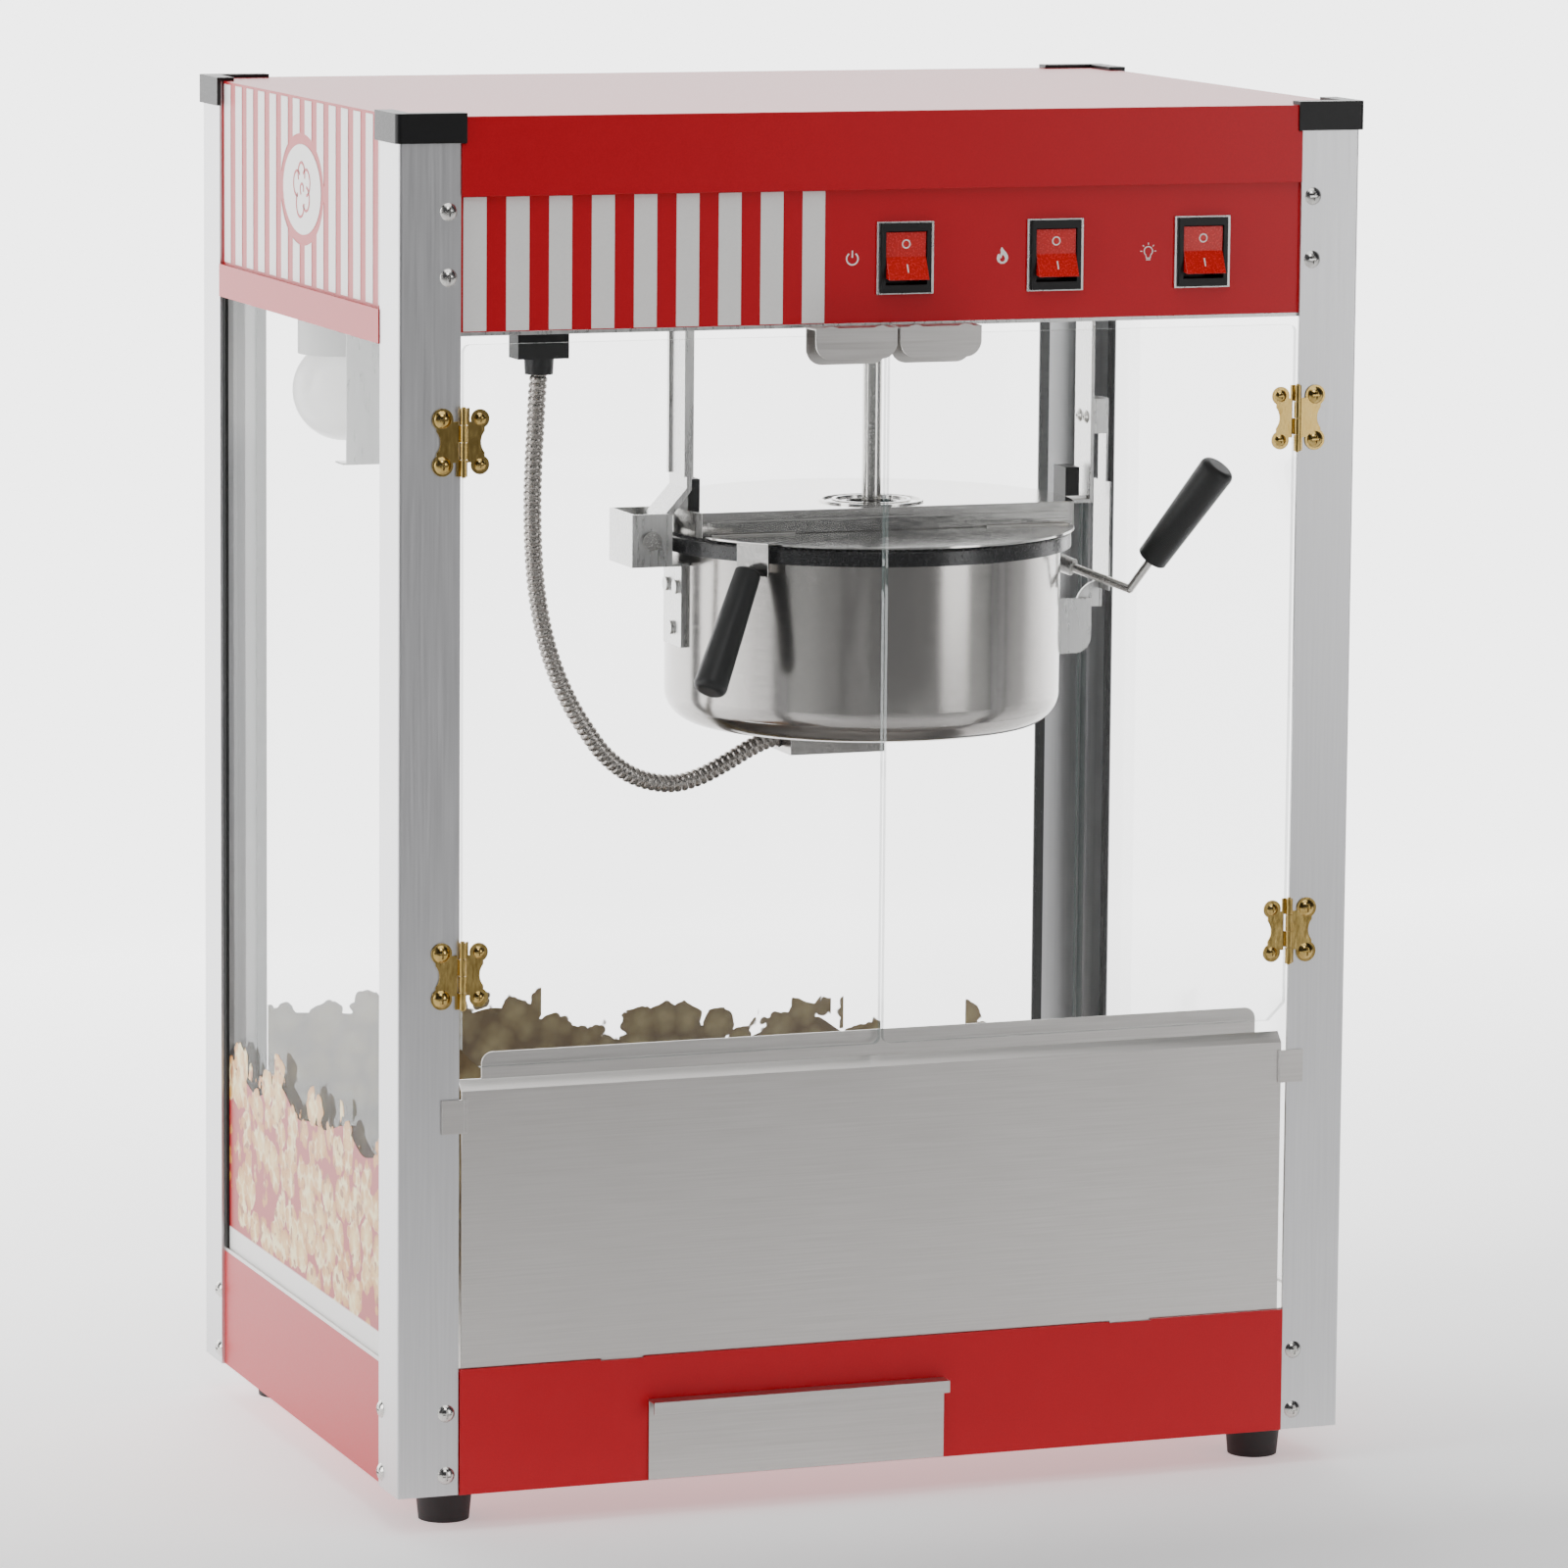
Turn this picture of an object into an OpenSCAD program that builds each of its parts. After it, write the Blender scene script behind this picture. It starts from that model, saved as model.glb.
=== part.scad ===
// Countertop popcorn machine: a glazed cabinet between four corner posts, a header that holds the
// drive, lamp and switches, a kettle that swings down about its left pin, and a kernel drawer.
// The front faces -Y, +X is to the viewer's right, and z = 0 is the table.

/* [Cabinet] */
// Width over the corner posts
cab_w = 556; // [554:1:560]
// Depth over the corner posts
cab_d = 380; // [378:1:384]
// Height of the feet
foot_h = 20.5; // [18:0.5:22]
// Length of a post's leg
post_leg = 34.5; // [33:0.5:35]
// Sheet metal of the casings
sheet = 1; // [0.8:0.1:1.2]

/* [Header] */
// Height of the control panel's lower edge
ceil_z = 653; // [652:0.5:654]
// Width of a switch frame
switch_w = 33; // [31:1:35]
// Height of a switch frame
switch_h = 39.5; // [38:0.5:42]
// Pitch of the printed stripes on the front
front_pitch = 24; // [23:0.1:24]
// Pitch of the printed stripes on the sides
side_pitch = 23; // [22:0.1:23]

/* [Doors and panes] */
// Thickness of a door pane
door_t = 4; // [3:0.5:4]
// Height of the doors' lower edge
door_z0 = 255.5; // [255:0.5:258]
// Height of the doors' upper edge
door_z1 = 646.5; // [640:0.5:647]
// Height of the lower hinge on each door
hinge_low = 306.4; // [290:0.1:330]
// Height of the upper hinge on each door
hinge_high = 594.7; // [570:0.1:600]
// Thickness of a fixed pane
pane_t = 3.5; // [3:0.5:4]

/* [Base] */
// Left edge of the drawer front
drawer_x0 = -135; // [-140:1:-130]
// Right edge of the drawer front
drawer_x1 = 38; // [30:1:44]
// Length of the drawer
drawer_l = 230; // [200:5:240]

/* [Kettle] */
// Centre of the kettle across the cabinet
pot_x = 58; // [57:0.5:59]
// Outer radius of the kettle
pot_r = 113; // [112:0.5:113]
// Height of the kettle's underside
pot_z0 = 408; // [406:1:410]
// Radius of the kettle's swing pin
pin_r = 4; // [3.5:0.5:4]
// Radius of the stirrer shaft
shaft_r = 5.5; // [4.5:0.5:5.5]
// Reach of a stirrer arm from the shaft's axis
stir_r = 78; // [60:1:78]
// Diameter of the kettle's conduit
conduit_d = 10.5; // [9:0.5:11]

/* [Hidden] */
$fn = 48;

// Outer faces and main levels of the cabinet
hx = cab_w / 2;
hy = cab_d / 2;
post_t = 2;
wx = hx - post_t;
wy = hy - post_t;
ix = hx - post_leg;
iy = hy - post_leg;
total_h = 770;
cap_z = 754;
cap_out = 2.2;
cap_leg = 39.4;
cover_z = 768;
band_z = 725.5;
pane_x = wx - 2;
pane_y = wy - 2;
lip_foot = 248.3;
lip_z = 663.5;
lip_low = 645;
base_top = 90;
top_screws = [682.5, 717.5];
low_screws = [31.6, 66];
side_low = [29, 64];

// Doors and their hinges
hinge_x = 242.4;
hinge_y = hy + 2.1;
hinge_h = 37;
leaf_t = 0.8;
door_x = 241.8;

// Switches
switch_z = 688;
switch_at = [9.65, 97.5, 184.8];
pivot_y = -wy + 1;
pivot_r = 1.25;

// Kettle, lid and stirrer
pot_top = 516.5;
rim_z = 518;
rim_r = pot_r + 6;
floor_z = 420;
swing_x = -76.5;
swing_z = 517;
shaft_x = 63;
arm_z = floor_z + 6.5;
lid_x = 61;
lid_r = 118;
lid_y = -35;
lid_top = 533.5;
lid_low = 519.2;
flap_y = -37.5;

// Lid grip, along the direction in which it runs out and down
grip_dir = [-0.766, -0.643];
grip_at = [-41.4, -83.5, 506];
grip_end = [-74.3, -111.1, 443];

// Latch spring and hangers
hang_l = -52.5;
hang_r = 194;
latch_x = 205.3;

// Crank
crank_a = [179, 4, 494.4];
crank_b = [211, -30, 481];
crank_c = [220, -40, 499];
crank_d = [249, -70, 555];

// Lamp
lamp = [-221, 100, 595];

// Conduit route from the plug under the ceiling to the box under the kettle
route = [
    [-137, 0, 612], [-138, 0, 600], [-139, 0, 580], [-140, 0, 560], [-140.5, 0, 540],
    [-140, 0, 515], [-138, 0, 490], [-134, 0, 467], [-127.5, 0, 445], [-118, 0, 424],
    [-106, 0, 405], [-96, 0, 392.5], [-83, 0, 382.5], [-69, 0, 377], [-54, 0, 375.5],
    [-39, 0, 379], [-24, 0, 386], [-9, 0, 394], [3, 0, 398.6], [13, 0, 400]
];

RED = [0.76, 0.05, 0.07];
WHITE = [0.93, 0.91, 0.88];
ALU = [0.72, 0.72, 0.73];
STEEL = [0.66, 0.64, 0.62];
BRASS = [0.72, 0.55, 0.22];
BLACK = [0.05, 0.05, 0.055];
CLEAR = [0.80, 0.88, 0.86, 0.35];
CORN = [0.93, 0.82, 0.55];

// ------------------------------------------------------------ shared shapes

// A box from its limits along x, y and z
module span(x, y, z) {
    translate([x[0], y[0], z[0]])
        cube([x[1] - x[0], y[1] - y[0], z[1] - z[0]]);
}

// Moves a shape made for the front left corner to another corner
module corner(sx, sy) {
    mirror([sx > 0 ? 1 : 0, 0, 0])
        mirror([0, sy > 0 ? 1 : 0, 0])
            children();
}

// A flat plate in the XZ plane from y0 back to y1, drawn with x to the right and z up
module upright(y0, y1) {
    translate([0, y1, 0])
        rotate([90, 0, 0])
            linear_extrude(y1 - y0)
                children();
}

// A sheet profile drawn as y against z and drawn out from x0 to x1
module along_x(x0, x1) {
    translate([x0, 0, 0])
        rotate([90, 0, 90])
            linear_extrude(x1 - x0)
                children();
}

// A straight round bar from p to q, of radius r0 at p and r1 at q
module bar(p, q, r0, r1) {
    d = q - p;
    translate(p)
        rotate([0, acos(d[2] / norm(d)), atan2(d[1], d[0])])
            cylinder(r1 = r0, r2 = r1, h = norm(d));
}

// A tapered handgrip from p to q, with its far end rounded
module grip(p, q, r0, r1) {
    d = q - p;
    h = norm(d);
    translate(p)
        rotate([0, acos(d[2] / h), atan2(d[1], d[0])])
            rotate_extrude() {
                polygon([[0, 0], [r0 - 1, 0], [r0, 1], [r1, h - 4], [r1 - 4, h], [0, h]]);
                intersection() {
                    translate([r1 - 4, h - 4]) circle(4);
                    translate([0, h - 4]) square([r1, 4]);
                }
            }
}

// A pan-head screw with a cross recess, standing on a face that looks along +Z
module screw(r, shank_r, shank_l) {
    h = r * 0.5;
    dome = (r * r + h * h) / (2 * h);
    difference() {
        union() {
            rotate_extrude()
                intersection() {
                    translate([0, h - dome]) circle(dome, $fn = 96);
                    square([r, h]);
                }
            translate([0, 0, -shank_l]) cylinder(r = shank_r, h = shank_l + 0.2);
        }
        for (a = [0, 90])
            rotate(a)
                translate([-r * 0.5, -r * 0.1, h - r * 0.25])
                    cube([r, r * 0.2, r]);
    }
}

module to_front() { rotate([90, 0, 0]) children(); }
module to_rear() { rotate([-90, 0, 0]) children(); }
module to_left() { rotate([0, -90, 0]) children(); }
module to_right() { rotate([0, 90, 0]) children(); }

// The outline of half a dish: radius r, from z0 to z1, lower corner rounded to c
module dish(r, z0, z1, c) {
    translate([0, z0]) square([r - c, z1 - z0]);
    translate([0, z0 + c]) square([r, z1 - z0 - c]);
    intersection() {
        translate([r - c, z0 + c]) circle(c, $fn = 64);
        translate([0, z0]) square([r, z1 - z0]);
    }
}

// ------------------------------------------------------------ frame

module post(sx, sy) {
    color(ALU)
        corner(sx, sy)
            difference() {
                translate([-hx, -hy, foot_h])
                    linear_extrude(cover_z - foot_h)
                        difference() {
                            union() {
                                translate([1.5, 0]) square([post_leg - 1.5, post_leg]);
                                translate([0, 1.5]) square([post_leg, post_leg - 1.5]);
                                translate([1.5, 1.5]) circle(1.5);
                            }
                            translate([post_t, post_t]) square(post_leg);
                        }
                for (z = concat(low_screws, top_screws))
                    translate([-250.4, -hy - 1, z]) to_rear() cylinder(r = 2.1, h = post_t + 2);
                for (z = side_low)
                    translate([-hx - 1, -160, z]) to_right() cylinder(r = 2.1, h = post_t + 2);
            }
}

// Plastic caps over the posts' upper ends, lapping the cover
module corner_caps() {
    color(BLACK)
        for (sx = [-1, 1], sy = [-1, 1])
            corner(sx, sy)
                translate([-hx - cap_out, -hy - cap_out, cap_z])
                    difference() {
                        linear_extrude(total_h - cap_z)
                            difference() {
                                union() {
                                    translate([3, 0]) square([cap_leg - 3, cap_leg]);
                                    translate([0, 3]) square([cap_leg, cap_leg - 3]);
                                    translate([3, 3]) circle(3);
                                }
                                translate([10, 10]) square(cap_leg);
                            }
                        translate([cap_out, cap_out, -1]) cube([60, 60, cover_z - cap_z + 1]);
                    }
}

// Rubber feet, wider at the top
module feet() {
    color(BLACK)
        for (sx = [-1, 1], sy = [-1, 1])
            translate([sx * 241, sy * 156, 0])
                difference() {
                    cylinder(r1 = 14, r2 = 16, h = foot_h);
                    translate([0, 0, -1]) cylinder(r = 4.5, h = 8);
                }
}

module frame_screws() {
    color(STEEL)
        for (sx = [-1, 1]) {
            for (z = concat(low_screws, top_screws)) {
                translate([sx * 250.4, -hy, z]) to_front() screw(4.9, 2, post_t);
                translate([sx * 250.4, hy, z]) to_rear() screw(4.9, 2, post_t);
            }
            for (z = side_low, sy = [-1, 1])
                translate([sx * hx, sy * 160, z])
                    rotate([0, sx * 90, 0]) screw(4.9, 2, post_t);
        }
}

// Screws that hold the hangers to the ceiling plate and the latch spring to its block
module hanger_screws() {
    color(STEEL) {
        for (y = [-5, 5])
            translate([hang_r - 1, y, 578.5]) to_left() screw(4, 1.5, 0);
        for (x = [hang_l + 13, hang_r - 12], y = [-8, 8])
            translate([x, y, ceil_z - 4]) rotate([180, 0, 0]) screw(4, 1.5, 0);
    }
}

// ------------------------------------------------------------ header

// Folded cover: a flat top, a deep band down the front and a hem under the band
module top_cover() {
    edge = hx + cap_out - cap_leg;
    color(RED) {
        span([-wx, wx], [-wy, wy], [cover_z - sheet, cover_z]);
        upright(-wy - 3, -wy - 2)
            polygon([[-ix + 0.3, band_z], [ix - 0.3, band_z], [ix - 0.3, cap_z - 0.3],
                     [edge, cap_z - 0.3], [edge, cover_z], [-edge, cover_z],
                     [-edge, cap_z - 0.3], [-ix + 0.3, cap_z - 0.3]]);
        span([-edge, edge], [-wy - 2.5, -wy], [cover_z - sheet, cover_z]);
        span([-ix + 0.3, ix - 0.3], [-wy - 2.5, -wy], [band_z, band_z + sheet]);
    }
}

module control_panel() {
    color(RED)
        difference() {
            span([-wx + sheet, wx - sheet], [-wy, -wy + sheet], [ceil_z, cover_z - sheet]);
            for (x = switch_at)
                span([x - 14, x + 14], [-hy, -wy + 3], [switch_z - 17, switch_z + 17]);
        }
}

// Galvanised plate over the chamber, with holes for the shaft, the lamp and the plug
module ceiling_plate() {
    color(STEEL)
        difference() {
            span([-wx + sheet, wx - sheet], [-wy, wy - sheet], [ceil_z - 2, ceil_z]);
            translate([shaft_x, 0, ceil_z - 5]) cylinder(r = 11, h = 10);
            translate([lamp[0], lamp[1], ceil_z - 5]) cylinder(r = 8, h = 10);
            span([-147, -127], [-5, 5], [ceil_z - 5, ceil_z + 5]);
        }
}

// Side casings: a flat face with a lip that steps out over the pane's top edge
module side_headers() {
    color(RED)
        for (sx = [-1, 1])
            corner(sx, -1) {
                span([-wx, -wx + sheet], [-wy + sheet, wy - sheet], [lip_z - 0.5, cover_z - sheet]);
                span([-hx - 0.6, -wx + sheet], [-iy + 0.4, iy - 0.4], [lip_z - sheet, lip_z]);
                span([-hx - 0.6, -hx + 0.4], [-iy + 0.4, iy - 0.4], [lip_low, lip_z - 0.5]);
            }
}

// Rear casing with rows of air slots beside the gear motor
module rear_header() {
    color(RED)
        difference() {
            span([-wx + sheet, wx - sheet], [wy - sheet, wy], [ceil_z, cover_z - sheet]);
            for (row = [0:2], i = [0:7])
                translate([-80 + i * 22, wy - 5, ceil_z + 45 + row * 18])
                    cube([14, 10, 3]);
        }
}

// A flat oval film, half as high as rz and half as wide as ry, facing along x
module oval(ry, rz, t) {
    rotate([90, 0, 90])
        linear_extrude(t)
            polygon([for (i = [0:47]) [ry * cos(i * 7.5), rz * sin(i * 7.5)]]);
}

// Printed white stripes on the front and sides, with a plain oval on each side
module header_stripes() {
    film = 0.2;
    color(WHITE) {
        for (i = [0:8])
            translate([-241.7 + i * front_pitch, -wy - film, ceil_z + 0.5])
                cube([front_pitch * 0.54, film, band_z - ceil_z - 1]);
        for (sx = [-1, 1])
            corner(sx, -1)
                translate([-wx - film, 0, 0]) {
                    difference() {
                        intersection() {
                            for (i = [0:13])
                                translate([0, 139 - i * side_pitch, lip_z + 1.5])
                                    cube([film, side_pitch * 0.57, cover_z - lip_z - 3]);
                            span([0, film], [0.5 - iy, iy], [lip_z, total_h]);
                        }
                        translate([-1, -3.5, 717]) oval(42, 31, 3);
                    }
                    translate([0, -3.5, 717]) oval(36.5, 25, film);
                }
    }
}

// ------------------------------------------------------------ base and glazing

// Base casing: four walls, a bottom, a raised front over the panel's tabs and the drawer's rails
module base_shell() {
    color(RED) {
        difference() {
            union() {
                difference() {
                    span([-wx, wx], [-wy, wy], [foot_h, base_top - 2]);
                    span([-wx + sheet, wx - sheet], [-wy + sheet, wy - sheet],
                         [foot_h + sheet, total_h]);
                }
                span([-ix + 0.5, ix - 0.5], [-hy - 1.3, -hy - 0.3], [foot_h, base_top]);
                span([-ix + 0.5, ix - 0.5], [-hy - 1.3, -wy + sheet], [foot_h, foot_h + sheet]);
            }
            span([drawer_x0 + 2, drawer_x1 - 2], [-hy - 5, -wy + 5], [foot_h + 2, 62]);
            for (s = [-1, 1])
                span([s * 150 - 12.6, s * 150 + 12.6], [-hy - 5, -wy - 0.5], [base_top - 0.8, 95]);
            translate([180, wy - 5, 56]) to_rear() cylinder(r = 7.05, h = 10);
        }
        for (x = [drawer_x0 + 3, drawer_x1 - 4])
            span([x, x + 1], [-wy + sheet, 70], [foot_h + sheet, 60]);
    }
}

// Steel deck with rows of sifting holes over the drawer
module chamber_deck() {
    color(STEEL)
        difference() {
            span([-wx, wx], [-wy + sheet, wy], [base_top - 2, base_top]);
            for (i = [0:7], j = [0:8])
                translate([drawer_x0 + 24 + i * 18, -150 + j * 18, base_top - 4])
                    cylinder(r = 4, h = 6, $fn = 24);
        }
}

// Lift-out front panel: a face with a bright bend along its top, two side tabs and two lower tabs
module front_panel() {
    t = 1;
    y = -hy;
    color(STEEL) {
        along_x(-242, 240)
            polygon([[y, base_top + 0.3], [y, 242.8], [y + 5.5, lip_foot], [y + 5.5 + t, lip_foot],
                     [y + 5.5 + t, lip_foot - t * 0.42], [y + t, 242.8 - t * 0.42],
                     [y + t, base_top + 0.3]]);
        span([-253.7, -241], [y - t - 0.3, y - 0.3], [220, 238.5]);
        span([238.9, 252.8], [y - t - 0.3, y - 0.3], [220, 238.5]);
        span([-242, -239], [y - t, y + t], [220, 238.5]);
        span([237.9, 240], [y - t, y + t], [220, 238.5]);
        for (s = [-1, 1])
            span([s * 150 - 12, s * 150 + 12], [y, y + t], [83, 91]);
    }
}

// The panel's lip, which stands on the bend behind the doors' lower edges
module panel_lip() {
    color(STEEL)
        upright(-hy + 5.5, -hy + 6.5) {
            translate([-229, lip_foot]) square([455, 8]);
            translate([-222.6, lip_foot]) square([442.2, 14.4]);
            translate([-222.6, lip_foot + 8]) circle(6.4);
            translate([219.6, lip_foot + 8]) circle(6.4);
        }
}

module glass_sides() {
    color(CLEAR)
        for (sx = [-1, 1])
            corner(sx, -1)
                span([-pane_x, -pane_x + pane_t], [-wy + 2, wy - 2], [base_top, ceil_z - 2]);
}

module glass_rear() {
    color(CLEAR)
        span([-pane_x + 6, pane_x - 6], [pane_y - pane_t, pane_y], [base_top, ceil_z - 2]);
}

// Black beads between the posts and the fixed panes, standing out past the rear posts' edges
module glass_gaskets() {
    color(BLACK)
        for (sx = [-1, 1]) {
            corner(sx, -1)
                span([-wx, -pane_x], [-iy - 6.5, -iy - 0.5], [base_top, ceil_z - 2]);
            corner(sx, 1) {
                span([-wx, -pane_x], [-iy - 3, -iy + 3.5], [base_top, ceil_z - 2]);
                span([-ix - 4, -ix + 2], [-wy, -pane_y], [base_top, ceil_z - 2]);
            }
        }
}

// Printed popcorn pictures on the left and rear panes, with an uneven upper edge
module popcorn_decals() {
    film = 0.2;
    color(CORN) {
        translate([-pane_x - film, 0, 0])
            rotate([90, 0, 90])
                linear_extrude(film)
                    polygon([[-iy, 90], [iy - 4, 90], [iy - 4, 205], [143, 212], [120, 219], [104, 226],
                             [90, 227], [70, 221], [50, 222], [32, 215], [15, 214], [0, 219],
                             [-20, 217], [-42, 224], [-62, 220], [-85, 227], [-110, 223],
                             [-134, 231], [-150, 226]]);
        upright(pane_y, pane_y + film)
            polygon([[2.5 - ix, 90], [ix - 2.5, 90], [ix - 2.5, 200], [215, 204], [180, 212],
                     [140, 230], [95, 230], [60, 234], [20, 238], [-20, 234], [-70, 236],
                     [-122, 242], [-170, 250], [-205, 257], [2.5 - ix, 250]]);
    }
}

// A gland for the mains lead, low on the rear wall
module cable_gland() {
    color(BLACK)
        translate([180, 206, 56])
            to_front()
                difference() {
                    union() {
                        cylinder(r = 9, h = 8);
                        translate([0, 0, 8]) cylinder(r = 12, h = 10, $fn = 6);
                        translate([0, 0, 18]) cylinder(r = 7, h = 4);
                    }
                    translate([0, 0, -1]) cylinder(r = 4, h = 30);
                    translate([0, 0, 17.5]) cylinder(r = 5, h = 10);
                }
}

// ------------------------------------------------------------ doors

// One butterfly leaf: a plate that narrows towards the knuckles, and its two knuckles
module leaf(reach, screw_off, first, bore) {
    k = hinge_h / 4;
    difference() {
        union() {
            rotate([90, 0, 0])
                linear_extrude(leaf_t)
                    difference() {
                        union() {
                            translate([2.6, -11]) square([reach - 5, 22]);
                            translate([screw_off, 12.3]) circle(reach - screw_off + 0.2);
                            translate([screw_off, -12.3]) circle(reach - screw_off + 0.2);
                            for (i = [0, 2])
                                translate([-0.8, (i + first) * k - hinge_h / 2 + 0.15])
                                    square([4.5, k - 0.3]);
                        }
                        translate([reach + 4.5, 0]) circle(9);
                    }
            for (i = [0, 2])
                translate([0, -2.1, (i + first) * k - hinge_h / 2 + 0.15])
                    cylinder(r = 2, h = k - 0.3);
        }
        translate([0, -2.1, -hinge_h]) cylinder(r = bore, h = hinge_h * 2);
    }
}

// Frame leaves with their pressed-in pins, and the screws into the posts
module hinge_frame_leaves() {
    color(BRASS)
        for (sx = [-1, 1], z = [hinge_low, hinge_high])
            corner(sx, -1)
                translate([-hinge_x, -hy, z]) {
                    mirror([1, 0, 0]) leaf(17, 11.3, 0, 0.5);
                    translate([0, -2.1, -hinge_h / 2 - 0.5]) cylinder(r = 1, h = hinge_h + 1);
                    for (e = [-1, 1])
                        translate([-11.3, -leaf_t, e * 12.3]) to_front() screw(4.7, 1.5, leaf_t);
                }
}

module hinge_leaves(sx) {
    color(BRASS)
        for (z = [hinge_low, hinge_high])
            corner(sx, -1)
                translate([-hinge_x, -hy, z]) {
                    leaf(14.6, 9.6, 1, 1.05);
                    for (e = [-1, 1])
                        translate([9.6, -leaf_t, e * 12.3]) to_front() screw(3.3, 1.5, leaf_t);
                }
}

module door(sx) {
    color(CLEAR)
        corner(sx, -1)
            upright(-hy, -hy + door_t)
                difference() {
                    union() {
                        translate([-door_x, door_z0 + 4]) square([door_x - 1, door_z1 - door_z0 - 8]);
                        translate([-door_x + 4, door_z0]) square([door_x - 9, door_z1 - door_z0]);
                        for (x = [-door_x + 4, -5], z = [door_z0 + 4, door_z1 - 4])
                            translate([x, z]) circle(4);
                    }
                    translate([-door_x, door_z0]) rotate(45) square(14, center = true);
                }
}

// Bent steel pull, hooked over the door's upper edge
module handle(sx) {
    color(STEEL)
        corner(sx, -1) {
            upright(-hy - 1, -hy) pull_face(631);
            upright(-hy - 16, -hy - 15) pull_face(635);
            span([-48, -1], [-hy - 16, -hy], [651, 652]);
        }
}

module pull_face(z) {
    translate([-39, z]) square([29, 652 - z]);
    translate([-48, z + 9]) square([47, 643 - z]);
    for (x = [-39, -10])
        translate([x, z + 9]) circle(9);
}

// ------------------------------------------------------------ drawer and switches

// Kernel drawer: a plain front with a folded lip, and a tray behind it
module drawer() {
    y = -hy - 2.8;
    color(STEEL) {
        span([drawer_x0, drawer_x1], [y, y + 1.2], [foot_h + 0.5, 66]);
        span([drawer_x0, drawer_x1], [y - 9, y + 1.2], [65, 66]);
        span([drawer_x0, drawer_x1], [y - 9, y - 8], [59.3, 65.5]);
        difference() {
            span([drawer_x0 + 5, drawer_x1 - 5], [y + 0.5, y + drawer_l], [foot_h + 3, 58]);
            span([drawer_x0 + 6, drawer_x1 - 6], [y + 1, y + drawer_l - 1], [foot_h + 4, 60]);
        }
    }
}

module switch_frames() {
    color(STEEL)
        for (x = switch_at)
            difference() {
                span([x - switch_w / 2, x + switch_w / 2], [-wy - 1.2, -wy],
                     [switch_z - switch_h / 2, switch_z + switch_h / 2]);
                span([x - 13.8, x + 13.8], [-hy, 0], [switch_z - 16.8, switch_z + 16.8]);
            }
}

// Switch housings: a bezel on the frame, and a hollow body behind the panel
module switch_bodies() {
    color(BLACK)
        for (x = switch_at)
            difference() {
                union() {
                    span([x - 14.5, x + 14.5], [-wy - 3, -wy - 1.2],
                         [switch_z - 19, switch_z + 19]);
                    span([x - 13.6, x + 13.6], [-wy - 2, -wy + 22],
                         [switch_z - 16.6, switch_z + 16.6]);
                }
                span([x - 12, x + 12], [-hy - 5, -wy + 9],
                     [switch_z - 14.6, switch_z + 14.6]);
                translate([x - 20, pivot_y, switch_z]) to_right() cylinder(r = pivot_r + 0.05, h = 40);
            }
}

// A see-through rocker on two stub pins, tipped so that its lower half stands out
module rocker(i) {
    x = switch_at[i];
    color(RED)
        translate([0, pivot_y, switch_z]) {
            rotate([-12, 0, 0])
                along_x(x - 11.6, x + 11.6)
                    polygon([[-3, 0], [-6, 13.2], [3, 10], [3, -10], [-6, -13.2]]);
            translate([x - 13.3, 0, 0]) to_right() cylinder(r = pivot_r, h = 26.6);
        }
}

// ------------------------------------------------------------ kettle

module pot() {
    color(STEEL)
        translate([pot_x, 0, 0])
            rotate_extrude($fn = 128)
                difference() {
                    dish(pot_r, pot_z0, pot_top, 18);
                    dish(pot_r - 1.5, floor_z, 560, 8);
                    translate([-1, pot_z0 - 1]) square([pot_r + 2, floor_z - 0.5 - pot_z0]);
                }
}

// Black ring around the kettle's rim
module pot_rim() {
    color(BLACK)
        translate([pot_x, 0, 0])
            rotate_extrude($fn = 128)
                polygon([[pot_r, 509.5], [rim_r, 509.5], [rim_r, rim_z - 0.6], [rim_r - 0.6, rim_z],
                         [rim_r - 10, rim_z], [rim_r - 10, pot_top], [pot_r, pot_top]]);
}

// Pan under the kettle's floor, with the wiring box
module heater_cover() {
    color(STEEL)
        difference() {
            union() {
                translate([pot_x, 0, 0])
                    rotate_extrude($fn = 128)
                        intersection() {
                            dish(pot_r, pot_z0, pot_top, 18);
                            translate([0, pot_z0]) square([pot_r, floor_z - 1.5 - pot_z0]);
                        }
                span([8, 65], [-20, 20], [391.5, pot_z0 + 1]);
            }
            translate([pot_x, 0, 0])
                rotate_extrude($fn = 128)
                    dish(pot_r - 1.5, pot_z0 + 1.5, 560, 16.5);
            span([9, 64], [-19, 19], [392.5, pot_z0]);
            translate([7, 0, 399.5]) to_right() cylinder(r = 6, h = 4);
        }
}

module heating_element() {
    color(STEEL)
        translate([pot_x, 0, 414.2])
            rotate_extrude()
                translate([72, 0]) circle(4.3, $fn = 32);
}

// Clevis on the kettle's left: two cheeks, a back wall and a strap down the kettle's side
module bracket_left() {
    color(STEEL)
        difference() {
            union() {
                span([-88, -86.5], [-20, 20], [502, 532]);
                for (y = [-20, 18.5])
                    span([-88, -64], [y, y + 1.5], [502, 532]);
                span([-88, -53.8], [-20, 20], [502, 503.5]);
                span([-57, -51], [-15, 15], [455, 503]);
                for (p = [[-8, 489], [8, 489], [0, 465]])
                    translate([-57, p[0], p[1]]) to_left() cylinder(r = 4, h = 2);
            }
            translate([pot_x, 0, 400]) cylinder(r = pot_r, h = 140, $fn = 128);
            translate([swing_x, -30, swing_z]) to_rear() cylinder(r = pin_r, h = 60);
        }
}

module swing_pin() {
    color(STEEL)
        translate([swing_x, -20, swing_z]) {
            to_rear() cylinder(r = pin_r, h = 42);
            to_front() cylinder(r = 5.5, h = 2);
            translate([0, 40, 0]) to_rear() cylinder(r = 5.5, h = 1.5);
        }
}

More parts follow.
